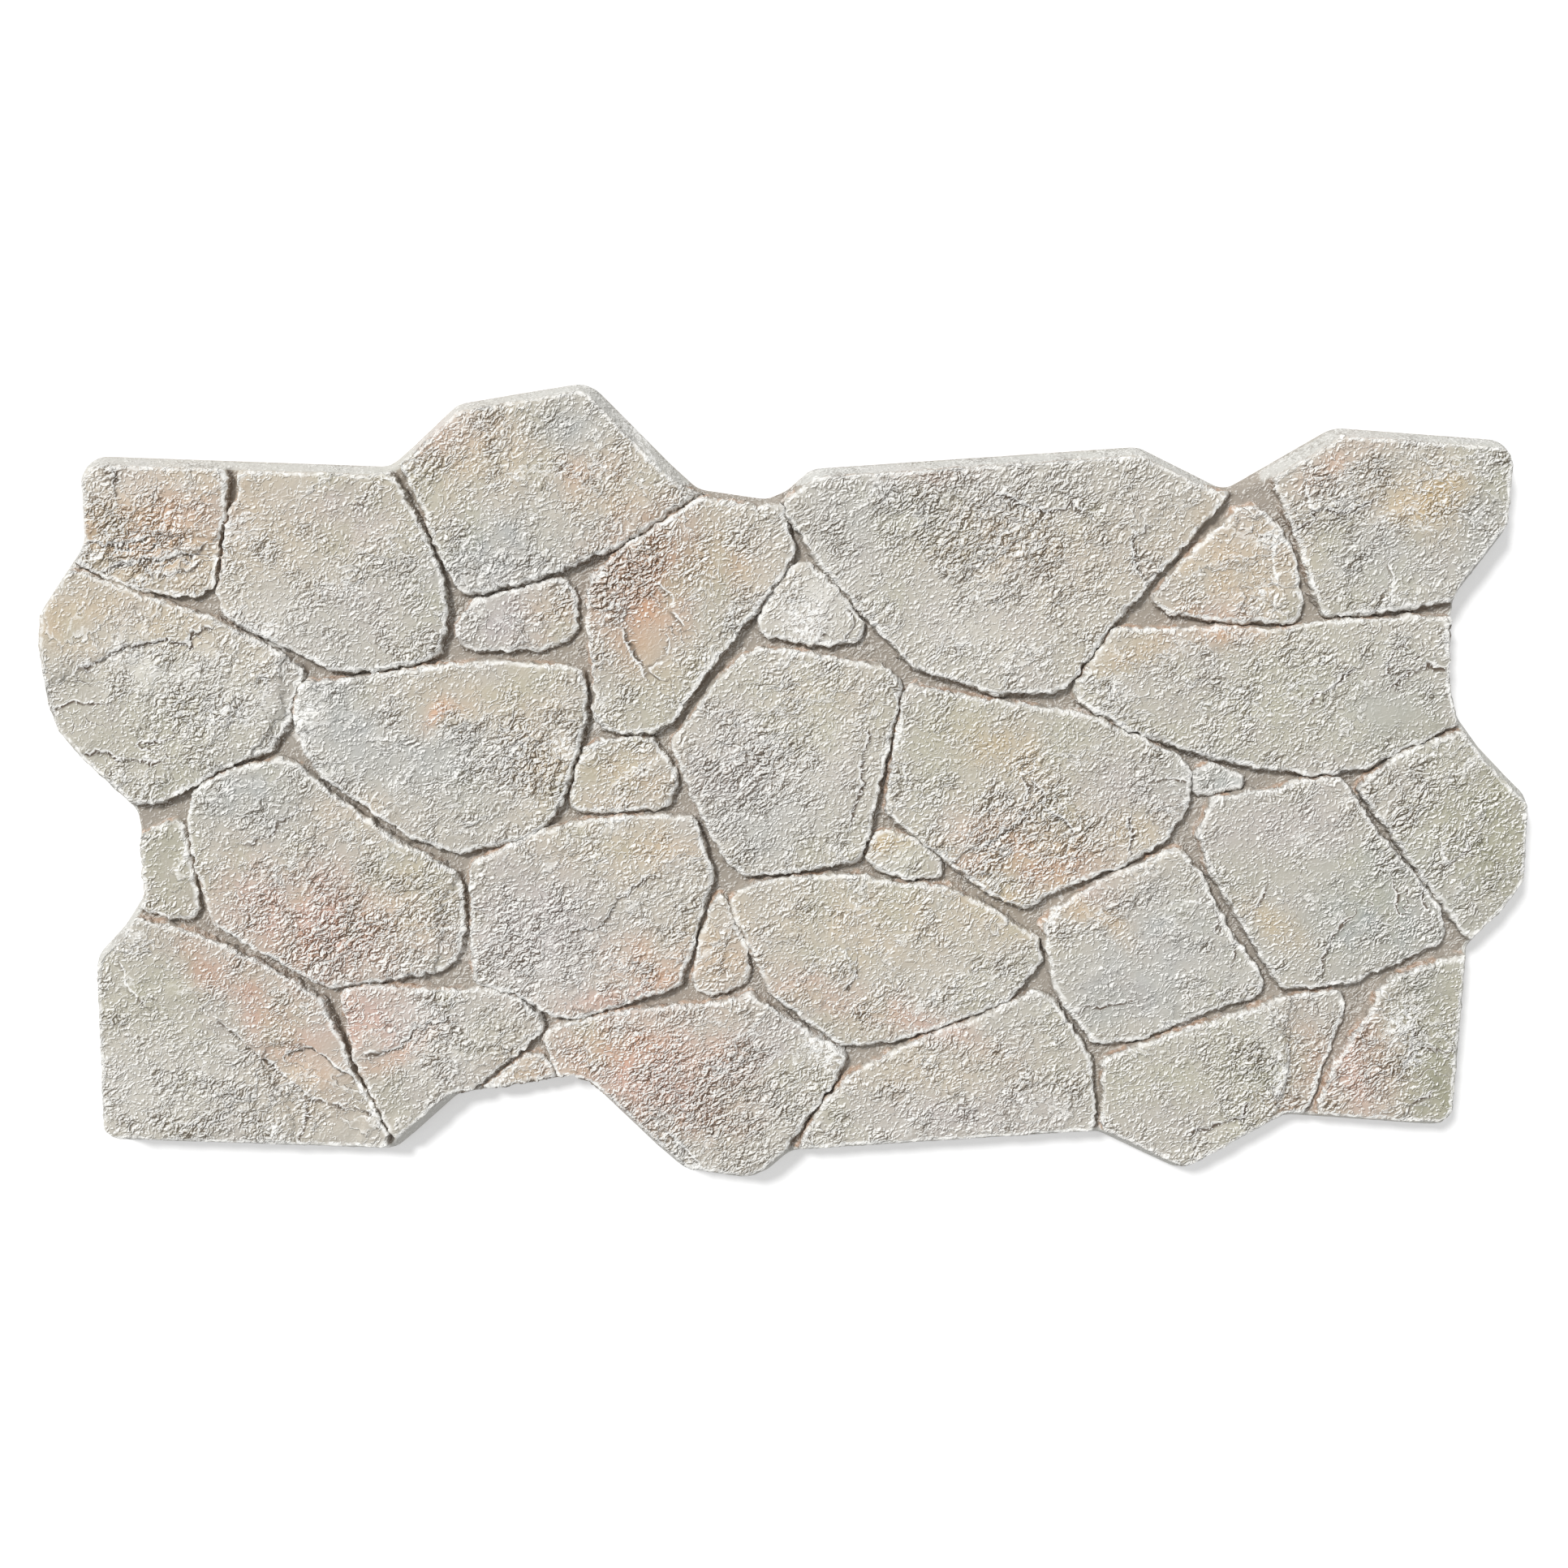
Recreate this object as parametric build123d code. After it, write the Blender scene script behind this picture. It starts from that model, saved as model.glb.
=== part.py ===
from build123d import *
import os
from math import radians, tan

# Wall panel moulded in one piece as irregular stones standing out of a mortar bed.
# Its ends and its long edges interlock: the right end repeats the left one, and the
# bottom edge repeats the top one. Millimetres, flat back on z = 0, stones facing +Z.

# Pitch of the laid panels
COVER_LENGTH = 1000.0
COVER_HEIGHT = 500.0
FIT_GAP = 4.0
END_STEP = 10.0
COURSE_LEAN = 14.0

# Section through the edge, the mortar bed and a stone
EDGE_LIP = 8.0
EDGE_SLOPE = 22.0
BED_LEVEL = 17.5
FACE_LEVEL = 25.0
STONE_DRAFT = 16.0
STONE_ARRIS = 1.2
STONE_ROOT = 2.0
TOP_LEVEL = 30.0

# Rounding of the outlines, seen from the front
OUTLINE_ROUNDING = 18.0
STONE_ROUNDING = 9.0
SHALLOW_TURN = 10.0

# Size at which the outlines below were drawn
DRAWN_LENGTH = 1000.0
DRAWN_HEIGHT = 500.0
TOP_LEFT = (-489, 232)

# Top edge from its left corner to its right corner, and left end from top to bottom
TOP_EDGE = [(-274, 224.5), (-258, 238), (-226, 267), (-190, 273), (-140, 281), (-130, 277),
            (-80, 227), (-60, 209), (-12, 202), (2, 208), (19, 223), (246, 238), (308, 208),
            (382, 251)]
LEFT_END = [(-490, 172), (-508, 147), (-524, 125), (-527, 100), (-523, 62), (-517, 40),
            (-500, 18), (-478, -4), (-463, -18), (-462, -78), (-478, -102), (-500, -125)]

# Stones: how far the face lies above or below the usual one, then its outline
STONES = {
    "left bulge": (0.8, [
        (-521, 162), (-455, 137), (-401, 119), (-354, 94), (-338, 83), (-345, 69), (-353, 43),
        (-364, 29), (-389, 20), (-442, -8), (-461, -9), (-481, -18), (-521, -7), (-556, 49),
        (-556, 140)]),
    "top left corner": (0.0, [
        (-505, 246), (-384, 246), (-388, 188), (-394, 176), (-398, 146), (-406, 138),
        (-433, 139), (-455, 143), (-480, 155), (-516, 172)]),
    "top left inner": (0.6, [
        (-373, 246), (-289, 246), (-257, 192), (-243, 160), (-237, 138), (-238, 112), (-242, 97),
        (-253, 92), (-287, 86), (-317, 86), (-339, 98), (-379, 117), (-390, 127), (-391, 137),
        (-384, 175), (-380, 193), (-373, 205)]),
    "top bump": (0.4, [
        (-275, 251), (-249, 199), (-237, 166), (-227, 146), (-221, 138), (-208, 141),
        (-183, 146), (-152, 157), (-116, 171), (-83, 189), (-45, 215), (-61, 246), (-111, 302),
        (-192, 302), (-243, 291)]),
    "rusty stone": (1.2, [
        (-131, 148), (-99, 176), (-67, 195), (-38, 214), (-8, 219), (-2, 190), (5, 168),
        (0, 154), (-22, 125), (-51, 89), (-80, 49), (-93, 42), (-113, 41), (-127, 45),
        (-131, 51), (-132, 86), (-135, 112), (-133, 140)]),
    "low wedge": (-2.5, [
        (-228, 115), (-224, 100), (-174, 99), (-152, 106), (-146, 115), (-147, 140), (-157, 146),
        (-174, 141), (-215, 130)]),
    "left middle": (0.2, [
        (-338, 73), (-300, 76), (-253, 84), (-202, 88), (-142, 83), (-141, 51), (-156, 0),
        (-165, -18), (-182, -34), (-233, -44), (-263, -34), (-300, -7), (-326, 10), (-336, 29),
        (-343, 51)]),
    "small under the rusty one": (-1.2, [
        (-140, 27), (-127, 33), (-111, 34), (-94, 34), (-77, 10), (-79, -2), (-85, -12),
        (-116, -14), (-147, -15), (-149, -6), (-145, 12)]),
    "large at the top": (1.0, [
        (4, 192), (-2, 213), (15, 246), (253, 263), (321, 225), (299, 199), (258, 152),
        (224, 112), (202, 80), (189, 71), (147, 69), (121, 79), (91, 88), (79, 101), (54, 127),
        (25, 160)]),
    "small grey triangle": (-1.2, [
        (11, 159), (26, 149), (43, 130), (59, 106), (27, 103), (5, 106), (-12, 110), (-17, 115),
        (-12, 127), (-2, 142)]),
    "centre": (0.9, [
        (-17, 97), (15, 94), (51, 87), (67, 85), (80, 75), (76, 49), (68, 16), (59, -27),
        (52, -50), (10, -57), (-26, -61), (-40, -49), (-58, -17), (-67, 3), (-77, 34), (-61, 53),
        (-45, 76), (-32, 89)]),
    "top triangle": (-0.6, [
        (324, 196), (313, 192), (288, 168), (268, 147), (257, 131), (273, 125), (303, 120),
        (357, 119), (358, 130), (352, 162), (341, 181)]),
    "top right": (0.5, [
        (332, 229), (379, 269), (526, 261), (528, 175), (497, 141), (459, 133), (435, 129),
        (394, 124), (378, 124), (370, 137), (359, 170), (348, 195)]),
    "right wide": (0.7, [
        (205, 69), (231, 111), (268, 110), (303, 112), (349, 110), (369, 115), (440, 119),
        (495, 117), (500, 59), (462, 42), (427, 26), (415, 18), (374, 12), (318, 20), (288, 28),
        (243, 44), (217, 57)]),
    "under the left bulge": (0.3, [
        (-418, -8), (-412, 0), (-389, 12), (-356, 19), (-344, 15), (-318, -7), (-280, -37),
        (-244, -56), (-233, -64), (-231, -91), (-235, -118), (-245, -130), (-326, -143),
        (-351, -131), (-391, -106), (-407, -96), (-415, -64), (-421, -30)]),
    "in the left notch": (-2.0, [
        (-485, -38), (-451, -33), (-440, -27), (-429, -24), (-426, -47), (-422, -72),
        (-421, -87), (-427, -94), (-445, -90), (-485, -79)]),
    "bottom left": (0.5, [
        (-483, -89), (-454, -98), (-427, -105), (-404, -115), (-376, -129), (-351, -143),
        (-335, -155), (-324, -181), (-313, -214), (-300, -236), (-292, -255), (-287, -297),
        (-526, -295), (-528, -118)]),
    "bottom left inner": (-0.3, [
        (-318, -150), (-300, -145), (-243, -149), (-214, -147), (-192, -155), (-173, -172),
        (-204, -201), (-241, -230), (-253, -280), (-273, -290), (-282, -261), (-293, -236),
        (-309, -201), (-316, -163)]),
    "small over the bottom notch": (-3.0, [
        (-187, -197), (-177, -196), (-169, -207), (-168, -239), (-243, -244), (-208, -213)]),
    "lower left of the centre": (0.4, [
        (-223, -56), (-197, -44), (-172, -33), (-149, -26), (-98, -21), (-65, -22), (-52, -64),
        (-61, -90), (-68, -115), (-78, -143), (-111, -153), (-147, -165), (-165, -164),
        (-192, -148), (-221, -139), (-222, -118), (-221, -78)]),
    "narrow triangle": (-2.0, [
        (-45, -76), (-38, -95), (-27, -120), (-28, -140), (-47, -149), (-58, -147), (-64, -141),
        (-59, -113), (-50, -86)]),
    "lower centre": (0.6, [
        (-37, -81), (-22, -70), (10, -66), (53, -64), (78, -70), (118, -73), (147, -88),
        (180, -110), (183, -125), (162, -151), (116, -171), (76, -183), (44, -186), (22, -171),
        (-8, -148), (-16, -128), (-30, -100)]),
    "bottom bump": (0.9, [
        (-172, -182), (-162, -175), (-116, -164), (-51, -158), (-25, -153), (-7, -163),
        (20, -181), (43, -194), (37, -211), (15, -241), (2, -262), (-14, -289), (-25, -317),
        (-96, -310), (-152, -254), (-160, -214)]),
    "small right of the centre": (-1.5, [
        (60, -50), (67, -34), (76, -33), (90, -37), (112, -55), (109, -63), (86, -62), (67, -57)]),
    "right of the centre": (0.8, [
        (87, 72), (131, 63), (177, 56), (212, 51), (245, 36), (277, 22), (285, 10), (283, -14),
        (270, -36), (243, -52), (192, -72), (173, -85), (152, -76), (121, -54), (91, -30),
        (74, -16), (77, 10), (83, 49)]),
    "pebble": (-2.5, [
        (293, 14), (305, 16), (323, 7), (324, 2), (310, 0), (295, -3), (291, 3)]),
    "right bulge": (0.4, [
        (437, 23), (473, 38), (500, 49), (551, 8), (561, -72), (531, -118), (509, -126),
        (488, -102), (461, -68), (428, -24), (408, -1), (415, 8)]),
    "left of the right bulge": (1.0, [
        (296, -32), (305, -9), (329, -4), (346, -4), (359, 3), (392, 6), (421, -33), (466, -85),
        (471, -108), (440, -125), (404, -139), (360, -144), (341, -115), (305, -59)]),
    "diamond": (0.2, [
        (188, -98), (195, -89), (222, -71), (258, -54), (280, -44), (295, -62), (318, -105),
        (344, -140), (340, -150), (310, -158), (283, -169), (261, -180), (227, -185),
        (209, -163), (197, -145), (192, -121)]),
    "lower right inner": (0.3, [
        (-3, -293), (30, -234), (51, -210), (78, -195), (101, -184), (142, -168), (182, -149),
        (193, -156), (209, -179), (221, -201), (224, -234), (223, -290)]),
    "lower right": (0.4, [
        (233, -201), (255, -190), (293, -178), (349, -159), (359, -154), (399, -150),
        (403, -161), (394, -189), (385, -219), (368, -267), (298, -317), (236, -283),
        (234, -226)]),
    "bottom right corner": (0.0, [
        (431, -149), (438, -140), (462, -130), (518, -115), (521, -277), (384, -270),
        (392, -232), (401, -204), (415, -180), (427, -161)]),
}

# Flakes broken off the faces: which stone, how deep, and an outline that covers the flake
FLAKES = [
    ("under the left bulge", 2.5, [
        (-232, -62), (-241, -76), (-249, -90), (-245, -105), (-253, -138), (-217, -138),
        (-217, -62)]),
    ("lower right", 2.5, [
        (369, -143), (360, -176), (366, -211), (354, -244), (354, -267), (425, -267),
        (425, -143)]),
    ("left bulge", 2.5, [
        (-350, 110), (-354, 54), (-369, 35), (-388, 12), (-324, 12), (-324, 110)]),
    ("bottom left", 2.0, [
        (-313, -267), (-356, -267), (-362, -232), (-381, -200), (-371, -186), (-349, -186),
        (-334, -197), (-299, -226)]),
    ("top left corner", 2.0, [
        (-493, 178), (-445, 180), (-417, 176), (-374, 179), (-374, 120), (-493, 120)]),
]


def at(x, y):
    """A drawn point, stretched to the pitch of the laid panels."""
    return Vector(x * COVER_LENGTH / DRAWN_LENGTH, y * COVER_HEIGHT / DRAWN_HEIGHT)


def facing_up(path):
    """The face that a closed path bounds, with its front towards +Z."""
    face = make_face(path).face()
    return face if face.normal_at().Z > 0 else -face


def corner_ends(before, corner, after, rounding):
    """Where the rounding of a corner begins and ends, limited by the shorter side."""
    turn = (corner - before).get_angle(after - corner)
    if turn < SHALLOW_TURN:
        return corner, corner
    room = 0.48 * min((corner - before).length, (after - corner).length)
    reach = min(rounding * tan(radians(turn) / 2), room)
    start = corner + (before - corner).normalized() * reach
    return start, corner + (after - corner).normalized() * reach


def rounded(points, rounding):
    """A closed face through the points, with arcs at all but the shallow corners."""
    count = len(points)
    ends = [corner_ends(points[i - 1], points[i], points[(i + 1) % count], rounding)
            for i in range(count)]
    path = [Line(ends[i - 1][1], ends[i][0]) for i in range(count)]
    path += [TangentArc(*ends[i], tangent=ends[i][0] - ends[i - 1][1])
             for i in range(count) if ends[i][0] != ends[i][1]]
    return facing_up(path)


def panel_outline():
    """The four interlocking edges: the top one and the left one, each used twice."""
    along = Vector(COVER_LENGTH - FIT_GAP, END_STEP)
    down = Vector(-COURSE_LEAN, FIT_GAP - COVER_HEIGHT)
    start = at(*TOP_LEFT)
    top = [at(*point) for point in TOP_EDGE]
    left = [at(*point) for point in LEFT_END]
    right = [point + along for point in left]
    bottom = [point + down for point in top]
    return ([start] + left + [start + down] + bottom + [start + along + down]
            + right[::-1] + [start + along] + top[::-1])


def edge_body():
    """All that the edges enclose: an upright lip, and above it walls that lean in."""
    outline = rounded(panel_outline(), OUTLINE_ROUNDING)
    lip = extrude(outline, EDGE_LIP)
    return lip + extrude(Pos(0, 0, EDGE_LIP) * outline, TOP_LEVEL - EDGE_LIP, taper=EDGE_SLOPE)


def stone(name):
    """A stone whose walls spread from its face: over the arris, then down into the bed."""
    step, points = STONES[name]
    level = FACE_LEVEL + step
    face = Pos(0, 0, level) * rounded([at(*point) for point in points], STONE_ROUNDING)
    body = extrude(face, -STONE_ARRIS, taper=-45)
    shoulder = body.faces().sort_by(Axis.Z)[0]
    depth = level - STONE_ARRIS - BED_LEVEL + STONE_ROOT
    body += extrude(shoulder, depth, taper=-STONE_DRAFT)
    for owner, flake, outline in FLAKES:
        if owner == name:
            cutter = facing_up(Polyline(*[at(*point) for point in outline], close=True))
            body -= extrude(Pos(0, 0, level - flake) * cutter, TOP_LEVEL)
    return body


def mortar_bed(edges):
    """The bed of mortar between and under the stones."""
    size = edges.bounding_box().size
    middle = edges.bounding_box().center()
    return Pos(middle.X, middle.Y, BED_LEVEL / 2) * Box(size.X, size.Y, BED_LEVEL)


edges = edge_body()
panel = edges & (mortar_bed(edges) + [stone(name) for name in STONES])
box = panel.bounding_box()
panel = Pos(-box.center().X, -box.center().Y, -box.min.Z) * panel
print("size", box.size, "volume", panel.volume, "solids", len(panel.solids()))
os.makedirs("parts", exist_ok=True)
export_step(panel.solid(), "parts/stone_panel.step")
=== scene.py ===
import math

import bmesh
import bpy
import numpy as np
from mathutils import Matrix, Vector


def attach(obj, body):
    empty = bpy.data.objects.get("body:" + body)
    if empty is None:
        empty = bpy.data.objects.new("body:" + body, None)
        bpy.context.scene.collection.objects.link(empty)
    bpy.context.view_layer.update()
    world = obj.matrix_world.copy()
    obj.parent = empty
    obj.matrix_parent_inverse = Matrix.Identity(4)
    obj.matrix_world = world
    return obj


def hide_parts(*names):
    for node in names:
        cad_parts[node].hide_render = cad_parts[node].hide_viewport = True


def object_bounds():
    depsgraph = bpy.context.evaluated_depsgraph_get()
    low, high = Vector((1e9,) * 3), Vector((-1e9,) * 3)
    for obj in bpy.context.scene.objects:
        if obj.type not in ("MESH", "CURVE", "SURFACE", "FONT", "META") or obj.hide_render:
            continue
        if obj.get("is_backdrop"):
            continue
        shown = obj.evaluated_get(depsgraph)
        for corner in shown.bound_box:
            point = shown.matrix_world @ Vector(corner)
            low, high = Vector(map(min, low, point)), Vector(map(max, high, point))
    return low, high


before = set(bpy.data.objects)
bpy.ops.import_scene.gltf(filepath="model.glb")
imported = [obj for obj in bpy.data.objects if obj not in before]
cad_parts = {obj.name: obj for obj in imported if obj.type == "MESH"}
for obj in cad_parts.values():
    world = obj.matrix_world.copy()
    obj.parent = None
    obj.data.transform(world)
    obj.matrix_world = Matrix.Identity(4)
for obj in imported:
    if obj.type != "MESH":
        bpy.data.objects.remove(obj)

# %% [markdown]
# # A faux stone wall panel
# The object is one moulded panel: flat irregular stones in a bed of mortar, all of it
# one skin of foam under a sanded coat that is painted by hand. The solid from the
# source has the outline, the bed, every stone and its larger flakes at real size.
# What is left to make is what the mould and the brush add: nibbled rims, split faces, grain,
# airbrushed washes and a dry brush of white, with painted highlight and painted shade on the sides
# that face towards and away from the lamp.

MM = 0.001
cad_low, cad_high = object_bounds()
print("solid", [round(v / MM, 1) for v in cad_high - cad_low], "mm")

# %% [markdown]
# ## Camera and lamp
# The panel lies on its back and the camera looks down at its middle, from about the
# length of the panel away and a little towards the top edge. A broad lamp shines from
# the upper left, so the joints fill with soft shadow on one side only. The even sky
# comes with the floor, at the end.

# %% Camera
CAMERA_HEIGHT = 1.0992
CAMERA_SETBACK = 0.1610
CAMERA_SIDE = -3.5 * MM
CAMERA_TILT = math.radians(-8.0)
LENS, SENSOR = 35.27, 36.0

camera = bpy.data.objects.new("camera", bpy.data.cameras.new("camera"))
camera.data.lens = LENS
camera.data.sensor_width = SENSOR
camera.location = (CAMERA_SIDE, CAMERA_SETBACK, CAMERA_HEIGHT)
camera.rotation_euler = (CAMERA_TILT, 0.0, 0.0)
bpy.context.scene.collection.objects.link(camera)
bpy.context.scene.camera = camera
print("camera", CAMERA_HEIGHT, "m above the back of the panel")

# %% Lamp
KEY_STRENGTH = 2.38
KEY_WIDTH = math.radians(12.0)
KEY_ELEVATION = math.radians(48.0)
KEY_BEARING = math.radians(132.0)

key = bpy.data.objects.new("key", bpy.data.lights.new("key", "SUN"))
key.data.energy = KEY_STRENGTH
key.data.angle = KEY_WIDTH
key.rotation_euler = (0.0, math.pi / 2 - KEY_ELEVATION, KEY_BEARING)
bpy.context.scene.collection.objects.link(key)
bpy.context.scene.view_settings.view_transform = "Standard"
print("lamp", round(math.degrees(KEY_ELEVATION)), "degrees above the panel")

# %% [markdown]
# ## Formulas for node trees
# The relief and the paint are both formulas of place. A small class wraps an output
# socket, so that a sum or a product in Python adds the node that does it. The same
# formulas then serve the mesh and the material, and the paint lands on the relief.

# %% A socket that can be added and multiplied
class Signal:
    """An output socket of a node tree. Arithmetic on it adds Math nodes."""

    def __init__(self, tree, socket):
        self.tree, self.socket = tree, socket

    @staticmethod
    def of(tree, kind, settings=None, sockets=None, output=0):
        """Adds a node: its type, its settings, the values or links of its sockets."""
        node = tree.nodes.new(kind)
        for name, value in (settings or {}).items():
            setattr(node, name, value)
        for name, value in (sockets or {}).items():
            if isinstance(value, Signal):
                tree.links.new(value.socket, node.inputs[name])
            else:
                node.inputs[name].default_value = value
        return Signal(tree, node.outputs[output])

    @property
    def is_vector(self):
        return self.socket.type in {"VECTOR", "RGBA"}

    def calculate(self, operation, first, second):
        """One Math node, or one Vector Math node where either side is a vector."""
        sides = [first, second]
        if not any(isinstance(s, Signal) and s.is_vector for s in sides):
            return Signal.of(self.tree, "ShaderNodeMath", {"operation": operation},
                             {0: first, 1: second})
        if operation == "MULTIPLY" and not all(
                isinstance(s, Signal) and s.is_vector or isinstance(s, tuple) for s in sides):
            vector, factor = sides if isinstance(first, Signal) and first.is_vector else sides[::-1]
            return Signal.of(self.tree, "ShaderNodeVectorMath", {"operation": "SCALE"},
                             {0: vector, "Scale": factor})
        return Signal.of(self.tree, "ShaderNodeVectorMath", {"operation": operation},
                         {0: first, 1: second})

    def __add__(self, other):
        return self.calculate("ADD", self, other)

    def __radd__(self, other):
        return self.calculate("ADD", other, self)

    def __sub__(self, other):
        return self.calculate("SUBTRACT", self, other)

    def __rsub__(self, other):
        return self.calculate("SUBTRACT", other, self)

    def __mul__(self, other):
        return self.calculate("MULTIPLY", self, other)

    def __rmul__(self, other):
        return self.calculate("MULTIPLY", other, self)

    def __truediv__(self, other):
        return self.calculate("DIVIDE", self, other)

    def ramp(self, low, high):
        """0 at low and beyond it, 1 at high and beyond it, with a soft rise between."""
        flip = low > high
        rise = Signal.of(self.tree, "ShaderNodeMapRange", {"interpolation_type": "SMOOTHSTEP"},
                         {"Value": self, "From Min": min(low, high), "From Max": max(low, high)})
        return 1.0 - rise if flip else rise


def noise(at, size, detail=2.0, roughness=0.5, distortion=0.0, output="Fac"):
    """Smooth noise from 0 to 1 whose hills are about size millimetres apart."""
    return Signal.of(at.tree, "ShaderNodeTexNoise", None,
                     {"Vector": at, "Scale": 1.0 / (size * MM), "Detail": detail,
                      "Roughness": roughness, "Distortion": distortion}, output)


LAYER_SIZE = 55.0
LAYERS = 7.0


def split_steps(bed):
    """Height in mm of the split layers of a stone, and how sharply they break.

    The layers are level lines of slow noise on the stone's own bedding, so they
    run along its split and differ from stone to stone.
    """
    slow = noise(bed, LAYER_SIZE, 6.0, 0.62, 0.3) * LAYERS
    level = Signal.of(bed.tree, "ShaderNodeMath", {"operation": "FLOOR"}, {0: slow})
    part = slow - level
    here = noise(bed + (0.31, 0.17, 0.0), 30.0, 1.0).ramp(0.45, 0.6)
    height = (part.ramp(0.0, 0.07) - part) * here
    edge = part.ramp(0.03, 0.09) * part.ramp(0.24, 0.1) * here
    return height, edge


# %% [markdown]
# ## From the solid to a fine skin
# The solid's facets are few and flat. Subdividing them would keep their long thin
# shapes, so a voxel remesh turns them into an even skin of small squares that can be
# worked, with the walls of the stones kept. The stones are found on the solid first:
# what stands above the joints falls apart into islands, each of one stone or of two
# that touch, and the border of an island is its rim.

# %% Find the stones on the solid
JOINT_TOP = 19.5 * MM
SAME_POINT = 0.01 * MM
ON_THE_BACK = 0.1 * MM
SMALLEST_STONE = 8.0

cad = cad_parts["stone_panel"]
solid = bmesh.new()
solid.from_mesh(cad.data)
bmesh.ops.remove_doubles(solid, verts=solid.verts, dist=SAME_POINT)


def islands(faces):
    """Groups of faces, each of faces that meet at their edges."""
    left = set(faces)
    while left:
        island, search = set(), [left.pop()]
        while search:
            face = search.pop()
            island.add(face)
            for other in {f for e in face.edges for f in e.link_faces} & left:
                left.remove(other)
                search.append(other)
        yield island


def lines_of(edges):
    """Edges as lines in the plane of the panel, in mm."""
    return np.array([[v.co[:2] for v in e.verts] for e in edges]) / MM


stones = []
for island in islands(f for f in solid.faces if min(v.co.z for v in f.verts) > JOINT_TOP):
    stones.append(lines_of([e for f in island for e in f.edges
                            if sum(other in island for other in e.link_faces) == 1]))
stones = [rim for rim in stones if np.ptp(rim[:, :, 0]) > SMALLEST_STONE]
stones.sort(key=lambda rim: (round(rim[:, :, 0].mean()), round(rim[:, :, 1].mean())))
foot = lines_of([e for e in solid.edges if all(v.co.z < ON_THE_BACK for v in e.verts)
                 and any(max(v.co.z for v in f.verts) > ON_THE_BACK for f in e.link_faces)])
print("islands of stone", len(stones), "and edges round the back", len(foot))

# %% Remesh a copy of the solid
VOXEL = 1.4 * MM
base = bpy.data.meshes.new("skin")
solid.to_mesh(base)
solid.free()
skin = bpy.data.objects.new("skin", base)
bpy.context.scene.collection.objects.link(skin)


def applied(name):
    """The skin with its modifiers turned into a plain mesh, and its modifiers gone."""
    graph = bpy.context.evaluated_depsgraph_get()
    mesh = bpy.data.meshes.new_from_object(skin.evaluated_get(graph))
    mesh.name = name
    skin.modifiers.clear()
    skin.data = mesh
    print(name, len(mesh.vertices), "points", len(mesh.polygons), "faces")
    return mesh


remesh = skin.modifiers.new("remesh", "REMESH")
remesh.mode = "VOXEL"
remesh.voxel_size = VOXEL
mesh = applied("fine skin")
place = np.empty(len(mesh.vertices) * 3, np.float32)
mesh.vertices.foreach_get("co", place)
place = place.reshape(-1, 3).astype(float) / MM

# %% [markdown]
# ## Measuring the skin against the stones
# Every point of the skin is told how far inside its stone's rim it lies, less than
# nothing in the joints, and how far inside the panel's own edge. The points of a stone
# also get its bedding: the place turned to the direction in which that stone splits,
# and moved so that no two stones match. The distances are in millimetres.

# %% Ways to measure
BACK_TOP = 1.0
BATCH = 8000
front = place[:, 2] > BACK_TOP


def to_lines(x, y, lines):
    """Distance from points to the nearest of several lines, its side and its offset."""
    start, run = lines[:, 0], lines[:, 1] - lines[:, 0]
    length = np.maximum((run ** 2).sum(1), 1e-9)
    dx, dy = x[:, None] - start[:, 0], y[:, None] - start[:, 1]
    along = np.clip((dx * run[:, 0] + dy * run[:, 1]) / length, 0.0, 1.0)
    off_x, off_y = dx - along * run[:, 0], dy - along * run[:, 1]
    gap = np.hypot(off_x, off_y)
    nearest = gap.argmin(1)
    rows = np.arange(len(x))
    side = dx[rows, nearest] * run[nearest, 1] - dy[rows, nearest] * run[nearest, 0]
    offset = np.stack([off_x[rows, nearest], off_y[rows, nearest]], 1)
    return gap[rows, nearest], side, offset


def inside(x, y, lines):
    """True where a point lies within the closed outline that the lines make."""
    (x0, y0), (x1, y1) = lines[:, 0].T, lines[:, 1].T
    crosses = (y0 > y[:, None]) != (y1 > y[:, None])
    with np.errstate(divide="ignore", invalid="ignore"):
        at = x0 + (y[:, None] - y0) * (x1 - x0) / (y1 - y0)
    return (crosses & (x[:, None] < at)).sum(1) % 2 == 1


def between(low, high):
    """True for each point of the front that lies between two corners."""
    return front & (place[:, :2] > low).all(1) & (place[:, :2] < high).all(1)


def batches(chosen):
    """The numbers of the points that are chosen, some thousands at a time."""
    numbers = np.flatnonzero(chosen)
    return np.array_split(numbers, max(1, len(numbers) // BATCH))


def grade(values, low, high):
    """0 at low, 1 at high and an even slope between."""
    return np.clip((values - low) / (high - low), 0.0, 1.0)


print("points on the front", int(front.sum()), "of", len(place))

# %% Distance to the rim of the stone
FAR = 60.0
RIM_INSET = 0.5
RIM_REACH = 14.0
AT_THE_LINE = 0.1
# Across the panel, towards the lamp
LIGHT_FROM = np.array([-0.67, 0.74])

rim_gap = np.full(len(place), -FAR)
sheltered_side = np.zeros(len(place))
outward = np.zeros((len(place), 2))
owner = np.full(len(place), -1)
for number, rim in enumerate(stones):
    near = between(rim.min((0, 1)) - RIM_REACH, rim.max((0, 1)) + RIM_REACH)
    for part in batches(near):
        x, y = place[part, 0], place[part, 1]
        gap, _, offset = to_lines(x, y, rim)
        # Facing says whether the stone lies towards the lamp from the point; the material paints
        # light and shade in the joints by it.
        facing = -(offset @ LIGHT_FROM) / np.maximum(gap, AT_THE_LINE)
        gap = np.where(inside(x, y, rim), gap, -gap)
        closer = gap > rim_gap[part]
        sheltered_side[part[closer]] = facing[closer]
        away = -offset / np.where(np.abs(gap) < AT_THE_LINE, AT_THE_LINE, gap)[:, None]
        outward[part[closer]] = away[closer]
        rim_gap[part[closer]] = gap[closer]
        owner[part[closer]] = number
rim_gap -= RIM_INSET
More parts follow.
